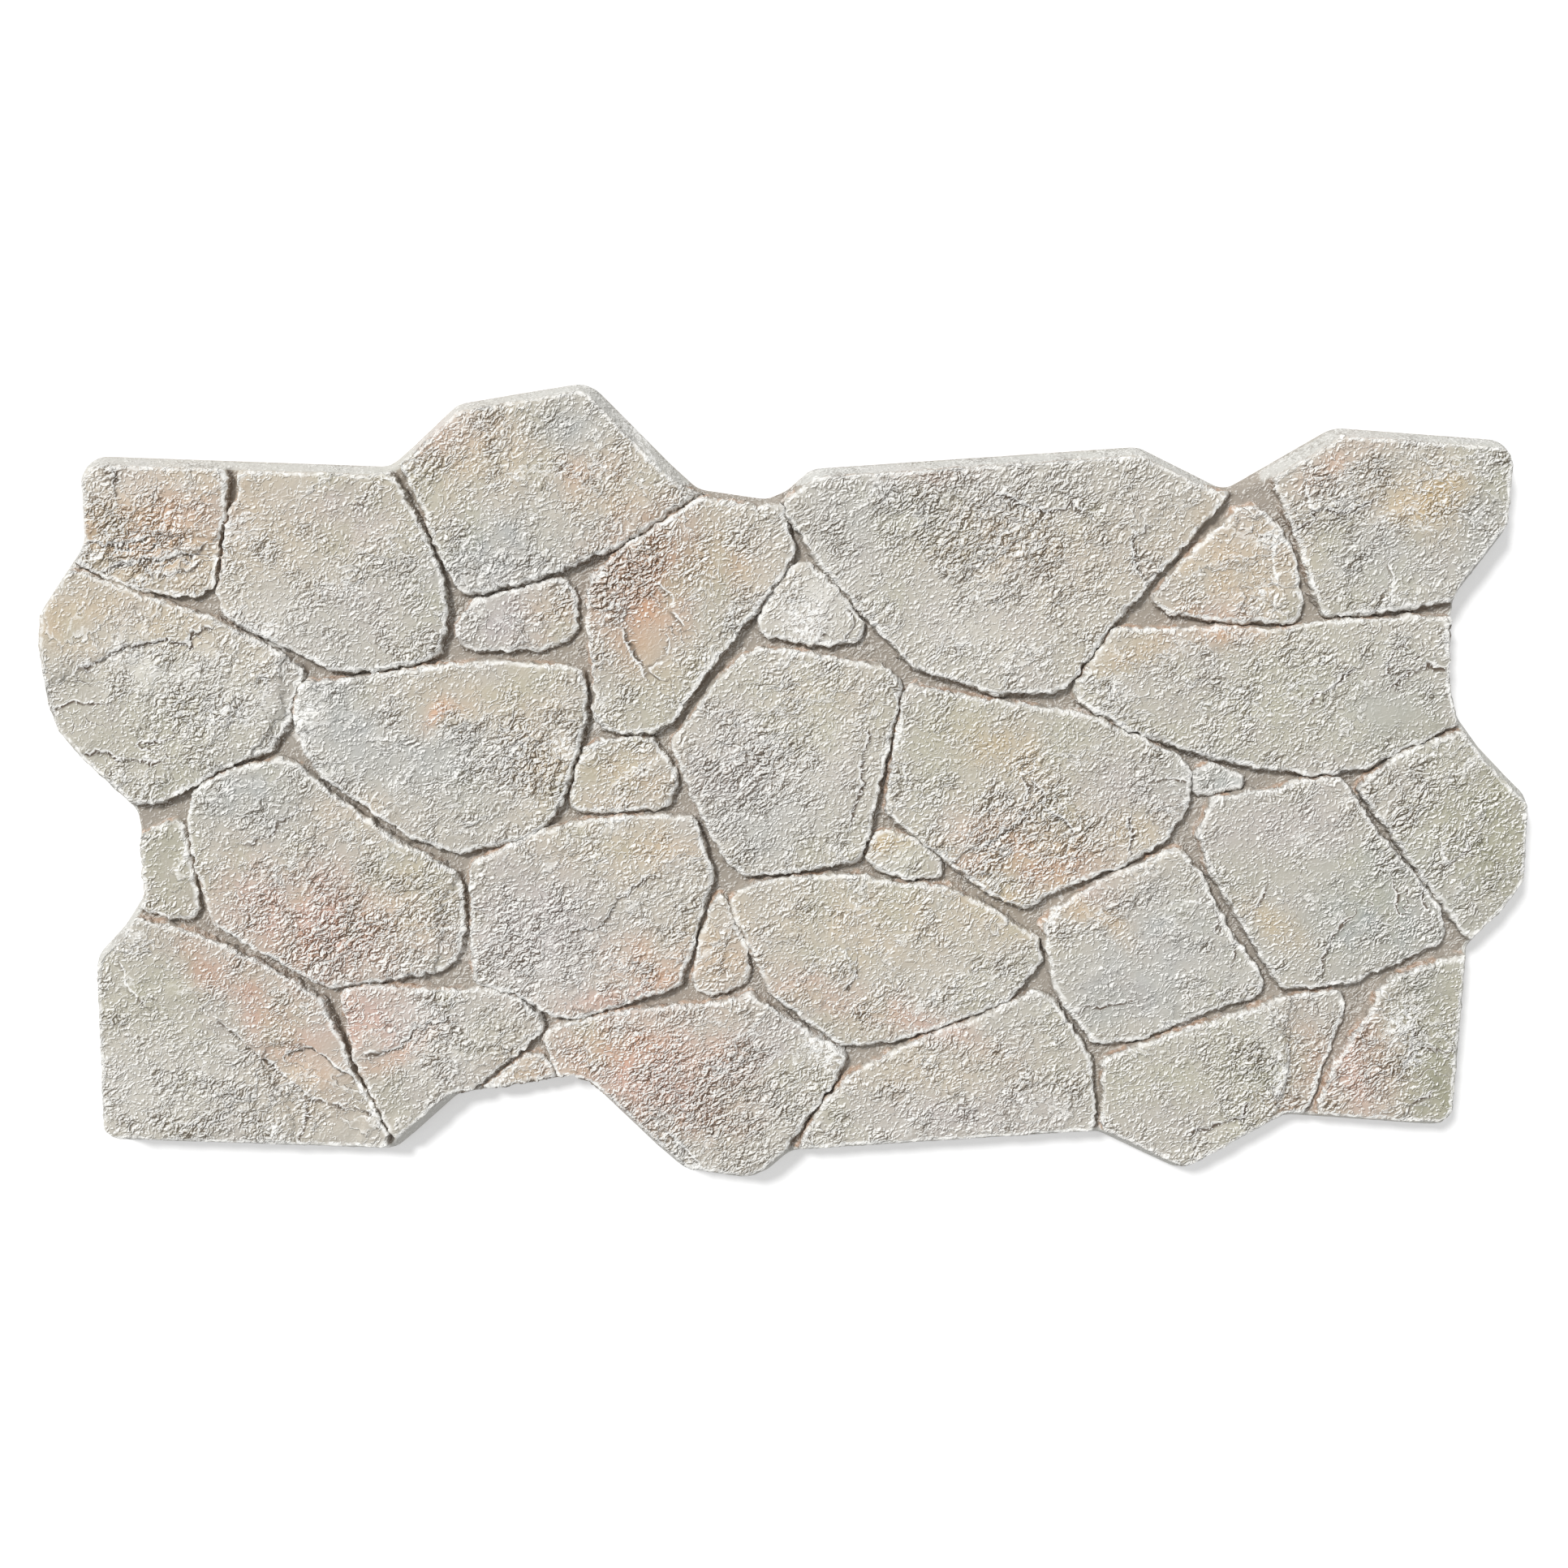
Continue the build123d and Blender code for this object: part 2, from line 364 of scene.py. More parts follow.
print("points on stones", int((rim_gap > 0).sum()), "in joints", int((rim_gap <= 0).sum()))

# %% Distance to the edge of the panel
EDGE_BAND = 70.0
EDGE_WALL = 7.0

edge_gap = np.full(len(place), FAR)
middle = between(foot.min((0, 1)) + EDGE_BAND, foot.max((0, 1)) - EDGE_BAND)
for part in batches(front & ~middle):
    edge_gap[part] = np.minimum(to_lines(place[part, 0], place[part, 1], foot)[0], FAR)
print("points on the edge walls", int((edge_gap < EDGE_WALL).sum()))

# %% The bedding of each stone
SPLIT_TURN, SPLIT_SPREAD = 0.55, 0.45
ALONG_SPLIT = 0.55

rng = np.random.default_rng(11)
turn = rng.normal(SPLIT_TURN, SPLIT_SPREAD, len(stones) + 1)
shift = rng.uniform(0.0, 3.0, (len(stones) + 1, 3))
cos, sin = np.cos(turn[owner]), np.sin(turn[owner])
bedding = np.empty_like(place)
bedding[:, 0] = (place[:, 0] * cos + place[:, 1] * sin) * ALONG_SPLIT
bedding[:, 1] = -place[:, 0] * sin + place[:, 1] * cos
bedding[:, 2] = 0.0
bedding = bedding * MM + shift[owner]
print("stones turned by", round(np.degrees(turn.min())), "to", round(np.degrees(turn.max())),
      "degrees")

# %% [markdown]
# ## A crease, and rims that swell
# Two stones at the top bump nearly touch, and the joint between them is a narrow crease.
# The upper part of each stone swells a little over its joints, as sprayed coat does.

# %% Crease and swell
CREASE = np.array([(-114, 177), (-102.5, 184.7), (-86.5, 193.7), (-70.5, 204), (-54, 215)])
CREASE_DEPTH, CREASE_HALF, CREASE_REACH = 4.5, 1.7, 12.0
UPPER_PART = 15.0
RIM_SWELL = 1.4

near = np.flatnonzero(between(CREASE.min(0) - CREASE_REACH, CREASE.max(0) + CREASE_REACH))
lines = np.stack([CREASE[:-1], CREASE[1:]], 1)
gap, side, _ = to_lines(place[near, 0], place[near, 1], lines)
rim_gap[near] = np.minimum(rim_gap[near], gap - CREASE_HALF)
# Along the crease one side is marked as sheltered from the lamp and the other as facing it, for the
# painted shade and painted light in the joints.
beside = np.where(side > 0, -1.0, 1.0)
sheltered_side[near] = np.where(gap < 2.0 * CREASE_HALF, beside, sheltered_side[near])
cut = place.copy()
swell = grade(rim_gap, -4.5, -1.0) * grade(rim_gap, 11.0, 3.0)
swell *= grade(place[:, 2], UPPER_PART, 19.0) * grade(edge_gap, EDGE_WALL, 13.0)
cut[:, :2] += outward * (RIM_SWELL * swell)[:, None]
cut[near, 2] -= CREASE_DEPTH * np.exp(-(gap / CREASE_HALF) ** 2) * (place[near, 2] > UPPER_PART)
cut[place[:, 2] < BACK_TOP, 2] = 0.0
mesh.vertices.foreach_set("co", (cut * MM).astype(np.float32).ravel())
print("points that swell", int((swell > 0).sum()))

# %% [markdown]
# ## The larger breaks
# Some edges inside the stones are too plain to leave to chance. Each is a line along
# the top of the break, drawn so that the lower side is on its right, with the drop in
# mm and how far the lower side stays down before the face comes back.

# %% Breaks, drawn one by one
READ_SCALE = 1.011
READ_SHIFT = (-3.5, 4.8)


def on_panel(x, y):
    """A place read off the photograph, in mm from its middle, on the panel."""
    return READ_SCALE * x + READ_SHIFT[0], READ_SCALE * y + READ_SHIFT[1]


BREAKS = [
    (1.5, 12, [(-487, 158), (-473, 152), (-453, 159), (-432, 161), (-409, 163), (-399, 170)]),
    (1.2, 8, [(-486, 173), (-472, 174), (-457, 170), (-438, 174)]),
    (1.5, 10, [(-430, 151), (-417, 152), (-401, 159)]),
    (0.8, 10, [(-456, 204), (-455, 219)]),
    (1.5, 45, [(-486, 85), (-471, 92), (-453, 102), (-430, 106), (-411, 102), (-408, 112),
        (-394, 115)]),
    (1.0, 20, [(-505, 59), (-490, 64), (-480, 63)]),
    (1.2, 25, [(-499, 22), (-480, 30), (-461, 24), (-438, 21)]),
    (0.8, 10, [(-445, 35), (-428, 37), (-426, 42)]),
    (0.6, 15, [(-376, -36), (-359, -27), (-348, -17), (-334, -12)]),
    (1.2, 18, [(-471, -126), (-469, -137), (-462, -148), (-455, -154)]),
    (1.2, 30, [(-401, -166), (-387, -179), (-386, -184), (-374, -193), (-363, -201),
        (-352, -213), (-341, -224)]),
    (1.4, 25, [(-357, -190), (-348, -185), (-337, -188), (-328, -191), (-319, -201),
        (-309, -210), (-301, -221)]),
    (0.8, 25, [(-341, -224), (-325, -227), (-316, -229)]),
    (0.6, 20, [(-353, -261), (-349, -244), (-345, -230)]),
    (0.8, 15, [(-309, -231), (-294, -237), (-283, -244)]),
    (0.7, 20, [(-298, -190), (-283, -186), (-269, -179), (-265, -170), (-253, -166),
        (-233, -161)]),
    (1.0, 20, [(-83, 141), (-77, 133), (-77, 126), (-71, 118)]),
    (1.0, 18, [(-95, 81), (-102, 89), (-107, 98), (-110, 109), (-117, 116)]),
    (0.6, 10, [(-81, 101), (-82, 91), (-93, 87)]),
    (0.8, 25, [(-152, -99), (-138, -98), (-129, -95), (-116, -74), (-105, -66), (-93, -59)]),
    (1.2, 8, [(10, -262), (24, -237), (33, -220), (41, -211)]),
    (1.0, 12, [(-82, -251), (-72, -260), (-60, -273), (-59, -283)]),
    (1.0, 6, [(44, -142), (50, -133), (52, -121)]),
    (1.2, 20, [(250, 143), (241, 153), (236, 174), (246, 182)]),
    (0.7, 25, [(146, 206), (158, 201), (179, 192), (194, 199), (204, 192)]),
    (1.5, 8, [(35, 98), (41, 104), (46, 116), (43, 129)]),
    (1.5, 5, [(18, 99), (25, 108)]),
    (0.8, 12, [(328, 177), (337, 173), (335, 156), (339, 142), (339, 128)]),
    (0.5, 8, [(343, 177), (357, 185)]),
    (1.0, 25, [(355, 210), (361, 196), (378, 194), (394, 196), (397, 201)]),
    (0.8, 10, [(416, 155), (419, 144), (416, 128)]),
    (1.2, 8, [(417, 88), (418, 97), (425, 101)]),
    (0.8, 15, [(419, 74), (431, 82), (443, 88), (462, 86)]),
    (1.0, 20, [(367, 63), (380, 76), (390, 84)]),
    (0.9, 15, [(46, -23), (48, -10), (55, 5), (52, 20), (58, 40)]),
    (1.0, 8, [(167, -12), (169, -4), (168, 6)]),
    (1.0, 15, [(177, 4), (182, -4), (185, -12), (193, -19), (205, -27), (200, -39)]),
    (1.0, 30, [(113, -50), (123, -47), (134, -40), (146, -35), (154, -27), (167, -19)]),
    (1.2, 8, [(241, -42), (242, -29), (242, -19)]),
    (0.6, 12, [(257, 9), (267, 11), (279, 8)]),
    (0.7, 15, [(317, -124), (318, -111), (315, -99)]),
    (0.9, 10, [(305, -97), (301, -83), (294, -77), (276, -79)]),
    (0.6, 20, [(207, -157), (223, -154), (235, -151), (248, -149)]),
    (0.7, 10, [(333, -80), (339, -67)]),
    (1.2, 15, [(381, -128), (383, -113), (387, -103), (398, -89)]),
    (0.8, 8, [(432, -80), (431, -70)]),
    (0.8, 6, [(452, -84), (449, -77), (447, -69)]),
    (0.8, 10, [(462, -33), (462, -50), (471, -51), (481, -42), (479, -35)]),
    (1.2, 12, [(358, -216), (363, -208), (361, -193), (359, -180)]),
    (0.8, 20, [(292, -249), (298, -247), (314, -241), (327, -236), (333, -229)]),
    (1.0, 8, [(446, -197), (449, -184), (447, -173)]),
    (0.8, 15, [(441, -247), (445, -236), (452, -227), (462, -220)]),
    (0.5, 12, [(458, -186), (469, -187), (480, -188)]),
]


def hills(x, y, size, seed):
    """Smooth random hills of one size in mm, from -1 to 1."""
    table = np.random.default_rng(seed).uniform(0.0, 2.0 * np.pi, (64, 64))
    gx, gy = x / size, y / size
    ix, iy = np.floor(gx).astype(int), np.floor(gy).astype(int)
    fx, fy = gx - ix, gy - iy
    sx, sy = fx * fx * (3 - 2 * fx), fy * fy * (3 - 2 * fy)
    corner = []
    for ox in (0, 1):
        for oy in (0, 1):
            angle = table[(ix + ox) % 64, (iy + oy) % 64]
            corner.append(np.cos(angle) * (fx - ox) + np.sin(angle) * (fy - oy))
    left = corner[0] + (corner[1] - corner[0]) * sy
    right = corner[2] + (corner[3] - corner[2]) * sy
    return 1.6 * (left + (right - left) * sx)


def strayed(reach, size, seed):
    """How far each point strays along x and y, in mm, by hills of one size."""
    x, y = place[:, 0], place[:, 1]
    return reach * np.stack([hills(x, y, size, seed), hills(x, y, size, seed + 1)], 1)


print("breaks", len(BREAKS))

# %% Lower the skin beside each break
DEEPER = 1.5
BREAK_WIDTH = 1.5
END_FADE = 12.0
SEARCHED = 2.5

ragged_place = place[:, :2] + strayed(2.6, 11.0, 1) + strayed(1.3, 4.5, 3)
break_gap = np.full(len(place), FAR)
drop = np.zeros(len(place))
break_shade = np.zeros(len(place))
for depth, reach, points in BREAKS:
    line = np.array([on_panel(x, y) for x, y in points])
    lines = np.stack([line[:-1], line[1:]], 1)
    low, high = line.min(0) - reach * SEARCHED, line.max(0) + reach * SEARCHED
    near = np.flatnonzero(between(low, high) & (rim_gap > 0))
    gap, side, offset = to_lines(*ragged_place[near].T, lines)
    same_stone = owner[near] == np.bincount(owner[near]).argmax()
    signed = np.where(side > 0, -gap, gap)
    fall = grade(-signed, 0.0, BREAK_WIDTH) * np.exp(-np.maximum(-signed, 0.0) / reach)
    ends = np.minimum(*(np.hypot(*(place[near, :2] - end).T) for end in (line[0], line[-1])))
    fall *= np.clip(ends / END_FADE, 0.25, 1.0)
    drop[near] = np.maximum(drop[near], np.where(same_stone, DEEPER * depth * fall, 0.0))
    closer = same_stone & (np.abs(signed) < np.abs(break_gap[near]))
    break_gap[near[closer]] = signed[closer]
    # How far the low side of each break faces away from the lamp, for the painted shade in the
    # cracks.
    facing = np.where(side > 0, -1.0, 1.0) * (offset @ LIGHT_FROM)
    facing /= np.maximum(gap, AT_THE_LINE)
    shade = DEEPER * depth * np.clip(ends / END_FADE, 0.3, 1.0) * facing
    break_shade[near[closer]] = shade[closer]
print("points lowered by breaks", int((drop > 0.2).sum()))

# %% [markdown]
# ## Paint on the skin
# On the real panel the coat is one stone colour, and thin washes are sprayed over it.
# Noise alone would spread them evenly, so they are laid one by one in soft patches, each by a
# place, a length, a width, a direction and a strength. They are laid on the points of the skin one
# after the other, and the brush work comes in the material, where it can be finer than the mesh.

# %% Paints and washes
def linear(red, green, blue):
    """A paint as mixed for the eye, 0 to 255, as the renderer's linear colour."""
    value = np.array([red, green, blue]) / 255.0
    return np.where(value <= 0.04045, value / 12.92, ((value + 0.055) / 1.055) ** 2.4)


PAINTS = {
    "stone": linear(194, 189, 178),
    "buff": linear(208, 191, 164),
    "sand": linear(208, 184, 152),
    "olive": linear(184, 182, 158),
    "deep olive": linear(160, 158, 138),
    "slate": linear(164, 170, 170),
    "blue grey": linear(184, 188, 188),
    "lilac": linear(190, 182, 182),
    "ochre": linear(212, 182, 128),
    "rust": linear(184, 138, 108),
    "pink": linear(214, 170, 152),
    "orange": linear(222, 166, 128),
    "white": linear(232, 230, 224),
    "mortar": linear(162, 153, 142),
    "peach": linear(212, 178, 152),
    # Dark of the glaze in the cracks, also used for painted shade in the joints and cracks.
    "dark glaze and painted shade": linear(104, 92, 80),
    # Painted shade on the far side of the grain.
    "shade": linear(128, 116, 101),
    # White of the dry brush, and painted highlight on the sides that face the lamp.
    "highlight": linear(251, 250, 246),
}
WASHES = [
    ("sand", -430, 182, 50, 45, 0, 0.7), ("orange", -405, 190, 26, 14, 20, 0.4),
    ("white", -462, 212, 26, 12, -10, 0.4),
    ("buff", -325, 192, 65, 34, 0, 0.4), ("white", -345, 118, 34, 22, 0, 0.3),
    ("buff", -205, 232, 55, 32, 20, 0.6), ("blue grey", -200, 165, 46, 26, 20, 0.6),
    ("buff", -112, 205, 40, 28, 0, 0.4), ("orange", -140, 222, 30, 12, -30, 0.25),
    ("rust", -82, 150, 34, 26, 30, 0.6), ("orange", -95, 112, 22, 30, 10, 0.5),
    ("rust", -112, 130, 10, 30, 0, 0.5), ("olive", -80, 75, 40, 30, 0, 0.5),
    ("buff", -25, 165, 30, 30, 0, 0.6), ("lilac", -190, 118, 30, 22, 0, 0.7),
    ("sand", -158, 120, 14, 18, 0, 0.5),
    ("olive", -430, 55, 70, 55, 0, 0.35), ("buff", -420, 115, 60, 18, -20, 0.5),
    ("white", -425, 82, 48, 20, -20, 0.5), ("white", -375, 62, 24, 14, 0, 0.4),
    ("blue grey", -310, 50, 30, 40, 0, 0.6), ("blue grey", -235, 20, 50, 26, 0, 0.5),
    ("buff", -225, 65, 40, 16, 0, 0.5), ("buff", -170, 30, 22, 50, 0, 0.5),
    ("orange", -238, 55, 12, 5, 30, 0.6),
    ("sand", -112, 10, 36, 24, 0, 0.55), ("lilac", -35, 30, 30, 34, 0, 0.5),
    ("buff", 25, 60, 40, 34, 0, 0.3), ("blue grey", -20, -25, 36, 26, 0, 0.4),
    ("blue grey", 100, 190, 90, 34, 0, 0.5), ("pink", 95, 215, 34, 8, 0, 0.25),
    ("buff", 200, 150, 60, 40, 20, 0.25), ("white", 130, 120, 30, 40, 0, 0.25),
    ("white", 20, 130, 30, 26, 0, 0.5),
    ("sand", 312, 160, 40, 32, 0, 0.6), ("orange", 296, 116, 28, 12, 0, 0.6),
    ("ochre", 435, 198, 26, 20, 0, 0.7), ("orange", 375, 225, 28, 10, 30, 0.3),
    ("blue grey", 405, 160, 40, 24, 0, 0.4),
    ("olive", 340, 60, 120, 46, 0, 0.4), ("sand", 240, 95, 24, 12, 20, 0.5),
    ("blue grey", 420, 60, 36, 30, 0, 0.4),
    ("blue grey", -375, -5, 34, 20, 0, 0.6), ("pink", -330, -90, 60, 30, -10, 0.7),
    ("rust", -345, -110, 26, 14, 0, 0.45), ("buff", -262, -80, 28, 30, 0, 0.5),
    ("olive", -435, -60, 20, 34, 0, 0.5),
    ("olive", -440, -150, 46, 30, 0, 0.4), ("pink", -370, -165, 60, 14, -45, 0.6),
    ("rust", -400, -135, 30, 8, -30, 0.5), ("white", -450, -215, 44, 26, 0, 0.3),
    ("sand", -345, -215, 26, 26, 0, 0.4),
    ("pink", -292, -165, 34, 22, 0, 0.7), ("orange", -270, -185, 30, 6, 30, 0.6),
    ("olive", -212, -180, 28, 22, 0, 0.5), ("blue grey", -255, -160, 30, 14, 0, 0.4),
    ("buff", -185, -205, 24, 12, 0, 0.5),
    ("lilac", -180, -100, 46, 46, 0, 0.6), ("buff", -110, -45, 44, 18, 0, 0.5),
    ("orange", -90, -125, 30, 20, 0, 0.45), ("pink", -120, -150, 40, 10, 0, 0.4),
    ("sand", -42, -118, 18, 30, 0, 0.6),
    ("buff", 60, -95, 80, 30, 0, 0.5), ("ochre", 160, -88, 34, 10, -30, 0.6),
    ("pink", 90, -165, 60, 12, -20, 0.45), ("orange", 20, -150, 30, 10, -30, 0.3),
    ("pink", -95, -205, 60, 30, 0, 0.7), ("orange", -120, -185, 34, 12, 0, 0.45),
    ("lilac", 5, -185, 34, 22, 0, 0.6), ("rust", -60, -240, 34, 16, 0, 0.35),
    ("white", 70, -50, 24, 10, 0, 0.4), ("ochre", 75, -38, 16, 6, 0, 0.5),
    ("olive", 110, 40, 34, 24, 0, 0.5), ("ochre", 160, 25, 34, 14, -20, 0.45),
    ("orange", 175, -45, 46, 20, -20, 0.55), ("rust", 200, -60, 26, 10, -20, 0.35),
    ("lilac", 240, 0, 40, 20, 0, 0.4), ("blue grey", 305, 8, 18, 12, 0, 0.5),
    ("olive", 460, -30, 46, 46, 0, 0.45), ("lilac", 360, -25, 34, 18, 0, 0.5),
    ("ochre", 345, -95, 30, 8, -30, 0.5), ("olive", 420, -80, 50, 30, 0, 0.4),
    ("blue grey", 262, -110, 60, 44, 0, 0.5), ("sand", 215, -85, 34, 8, -35, 0.7),
    ("lilac", 130, -235, 60, 20, 0, 0.5), ("buff", 90, -205, 60, 16, 0, 0.4),
    ("olive", 295, -215, 60, 34, 0, 0.5), ("rust", 372, -195, 14, 34, 0, 0.4),
    ("white", 350, -195, 8, 30, 20, 0.4), ("pink", 405, -195, 12, 40, -20, 0.5),
    ("pink", 425, -205, 22, 34, 0, 0.6), ("olive", 460, -215, 26, 26, 0, 0.5),
    ("deep olive", 498, -34, 32, 46, 0, 0.8), ("deep olive", 480, -218, 28, 44, 0, 1.0),
    ("deep olive", 452, -155, 34, 30, 0, 0.6), ("slate", 420, -98, 50, 34, 0, 0.6),
    ("deep olive", 450, 45, 30, 20, 0, 0.4), ("slate", 412, -48, 30, 16, 0, 0.35),
    ("deep olive", 328, -58, 22, 14, 0, 0.35), ("slate", 475, 190, 20, 42, 0, 0.45),
    ("deep olive", 345, -215, 20, 30, 0, 0.5), ("slate", 240, -150, 40, 14, 0, 0.35),
    ("sand", 142, 175, 60, 22, 0, 0.4), ("white", 5, 25, 40, 30, 0, 0.35),
    ("white", -178, -120, 30, 24, 0, 0.4), ("white", -250, -180, 26, 20, 0, 0.5),
    ("rust", -338, -135, 18, 13, 0, 0.5), ("deep olive", -432, -50, 18, 30, 0, 0.35),
    ("sand", -490, 115, 26, 20, 0, 0.5), ("orange", -447, 177, 26, 18, 0, 0.35),
    ("white", -418, 90, 26, 16, 0, 0.4), ("rust", -100, 180, 30, 14, 30, 0.35),
    ("rust", -138, 130, 8, 26, 0, 0.45), ("rust", -58, 158, 26, 14, 0, 0.35),
    ("pink", -238, 250, 26, 18, 0, 0.4), ("blue grey", -147, 250, 26, 18, 0, 0.6),
    ("lilac", -290, 195, 28, 18, 0, 0.5), ("sand", -305, -15, 26, 14, 0, 0.4),
    ("sand", -78, -42, 24, 12, 0, 0.4), ("ochre", 250, -27, 16, 16, 0, 0.3),
    ("rust", 358, -228, 14, 10, 0, 0.45), ("lilac", 288, -234, 36, 16, 0, 0.4),
    ("white", 0, -228, 22, 22, 0, 0.35), ("orange", -44, -188, 16, 10, 0, 0.3),
    ("deep olive", -290, -222, 20, 18, 0, 0.35), ("rust", 155, -56, 16, 8, -20, 0.4),
    ("sand", 200, -30, 40, 20, -20, 0.35), ("slate", 300, 10, 30, 16, 0, 0.35),
]
soft_x, soft_y = (place[:, :2] + strayed(9.0, 34.0, 5)).T
cloud = 0.8 + 0.5 * hills(place[:, 0], place[:, 1], 14.0, 7)


def patch(x, y, length, width, angle):
    """How much each point lies in a soft oval patch, 0 to 1."""
    at_x, at_y = on_panel(x, y)
    turned = math.radians(angle)
    dx, dy = soft_x - at_x, soft_y - at_y
    u = (dx * math.cos(turned) + dy * math.sin(turned)) / length
    v = (dy * math.cos(turned) - dx * math.sin(turned)) / width
    return np.exp(-(u * u + v * v))


WASH_SPREAD, WASH_STRENGTH = 1.15, 1.2
paint = np.tile(PAINTS["stone"], (len(place), 1))
for name, x, y, length, width, angle, strength in WASHES:
    cover = patch(x, y, length * WASH_SPREAD, width * WASH_SPREAD, angle) * cloud
    paint += (PAINTS[name] - paint) * (strength * WASH_STRENGTH * cover)[:, None]
print("washes", len(WASHES))

# %% Where the coat is coarse, and where it is smooth
# A place, a length, a width, a direction, and how much: more than 0 is coarse
ROUGHNESS = [
    (-447, 179, 26, 20, 0, 0.8), (138, 179, 66, 34, -10, 0.7), (-17, 17, 36, 30, 0, 0.8),
    (-304, -99, 44, 28, 0, 0.8), (-52, -221, 60, 36, 0, 0.7), (-183, 34, 34, 28, 0, 1.0),
    (-404, 57, 34, 22, 0, 0.8), (378, 196, 30, 22, 20, 0.6), (-112, 148, 34, 24, 30, 1.0),
    (390, 150, 18, 14, 0, 0.3), (166, -24, 50, 30, -10, 0.6), (-407, -238, 50, 22, 0, 0.5),
    (-183, -111, 50, 34, 0, 0.4), (424, -197, 30, 40, 0, 0.5), (333, -197, 26, 40, 20, 0.5),
    (436, -18, 30, 50, 0, 0.4), (-247, -180, 34, 22, 0, 0.4), (-487, 115, 26, 18, 0, -0.7),
    (-487, 40, 30, 24, 0, -0.7), (-321, -197, 30, 20, -40, -1.0), (-304, -250, 34, 16, 0, -1.0),
    (-327, 208, 46, 18, 0, -0.6), (-436, -134, 34, 22, 0, -0.5), (-195, 75, 40, 26, 0, -0.6),
    (-92, 104, 18, 26, 0, -1.0), (419, 57, 30, 16, 0, -0.7), (310, 150, 40, 20, 0, -0.3),
    (287, 185, 24, 26, 0, -0.6), (241, 115, 20, 20, 0, -0.3), (126, 17, 20, 16, 0, -0.4),
    (80, -116, 40, 24, 0, -0.3), (241, -128, 40, 30, 0, -0.5), (367, -70, 40, 34, 0, -0.5),
    (281, -215, 30, 24, 0, -0.5), (-430, -64, 14, 26, 0, -0.7), (-172, -53, 50, 18, 0, -0.2),
    (470, -215, 16, 34, 0, -0.4),
]
rough = np.zeros(len(place))
for x, y, length, width, angle, amount in ROUGHNESS:
    rough += amount * patch(x, y, length, width, angle)
print("patches of coarse and smooth coat", len(ROUGHNESS))

# %% Where the white brush has been pressed harder
WHITE_STROKES = [
    (354, -203, 8, 20, 0, 1.0), (452, -200, 10, 8, 0, 0.9), (444, -163, 14, 26, -30, 0.7),
    (-484, 86, 10, 6, 0, 0.7), (-355, 106, 16, 10, -40, 0.9), (-387, 50, 20, 10, 0, 0.9),
    (-330, 46, 12, 26, 0, 0.7), (-365, -251, 12, 12, 0, 0.8), (27, -190, 18, 14, -35, 0.8),
    (-60, -275, 12, 8, -40, 0.8), (17, 121, 22, 14, -30, 0.9), (335, 176, 12, 8, 0, 0.9),
    (325, 138, 10, 8, 0, 0.7), (-97, 240, 26, 7, -45, 0.9), (85, 34, 5, 30, 0, 0.8),
    (368, -40, 26, 9, -25, 0.5), (-229, -111, 8, 20, 0, 0.5), (-126, 57, 6, 18, 0, 0.7),
    (195, -87, 5, 40, 0, 0.6), (287, -163, 24, 5, 20, 0.6), (-264, -18, 10, 6, 0, 0.4),
    (-464, 92, 22, 6, 10, 0.5), (-155, 28, 12, 16, 0, 0.6), (201, 57, 40, 4, -18, 0.5),
    (-115, -15, 14, 20, 0, 0.5),
]
white = np.zeros(len(place))
for x, y, length, width, angle, amount in WHITE_STROKES:
    white = np.maximum(white, amount * patch(x, y, length, width, angle))
print("white strokes", len(WHITE_STROKES))

# %% Keep what was measured on the skin
def keep(mesh, name, kind, values):
    """Stores one value, place or colour for each point of the mesh."""
    layer = mesh.attributes.new(name, kind, "POINT")
    field = {"FLOAT": "value", "FLOAT_VECTOR": "vector", "FLOAT_COLOR": "color"}[kind]
    layer.data.foreach_set(field, np.ascontiguousarray(values, np.float32).ravel())


keep(mesh, "rest", "FLOAT_VECTOR", place * MM)
keep(mesh, "bedding", "FLOAT_VECTOR", bedding)
keep(mesh, "rim_gap", "FLOAT", np.clip(rim_gap, -20.0, 40.0))
keep(mesh, "break_gap", "FLOAT", np.clip(break_gap, -20.0, 20.0))
keep(mesh, "edge_gap", "FLOAT", np.clip(edge_gap, 0.0, 40.0))
keep(mesh, "drop", "FLOAT", drop)
keep(mesh, "rough", "FLOAT", rough)
keep(mesh, "white", "FLOAT", white)
keep(mesh, "break_shade", "FLOAT", break_shade)
keep(mesh, "sheltered_side", "FLOAT", sheltered_side)
keep(mesh, "paint", "FLOAT_COLOR", np.column_stack([paint, np.ones(len(paint))]))

# %% [markdown]
# ## Weathering the skin
# The mould was taken from split stone, so each face is a stack of thin broken layers,
# its rim is nibbled and its edge rolls over. It could be sculpted, but a formula gives
# every stone its own relief and is quick to change. A Geometry Nodes tree moves every
# point by its place: sideways near the rims, and up or down over the faces and the
# mortar. The flat back and the lowest edge stay as they are.

# %% The weathering tree and its inputs
SIZES = {"Rim nibble": 4.8, "Layer height": 1.4, "Face swell": 1.4, "Rim roll": 0.5,
         "Mortar lump": 1.6, "Face lump": 2.0}

weathering = bpy.data.node_groups.new("weathering", "GeometryNodeTree")
weathering.interface.new_socket("Geometry", in_out="INPUT", socket_type="NodeSocketGeometry")
for name in SIZES:
    weathering.interface.new_socket(name, in_out="INPUT", socket_type="NodeSocketFloat")
weathering.interface.new_socket("Finish", in_out="INPUT", socket_type="NodeSocketMaterial")
weathering.interface.new_socket("Geometry", in_out="OUTPUT", socket_type="NodeSocketGeometry")
entry = weathering.nodes.new("NodeGroupInput")
size = {name: Signal(weathering, entry.outputs[name]) for name in SIZES}


def stored(name, kind="FLOAT"):
    """A value kept on the points of the skin."""
    return Signal.of(weathering, "GeometryNodeInputNamedAttribute", {"data_type": kind},
                     {"Name": name})


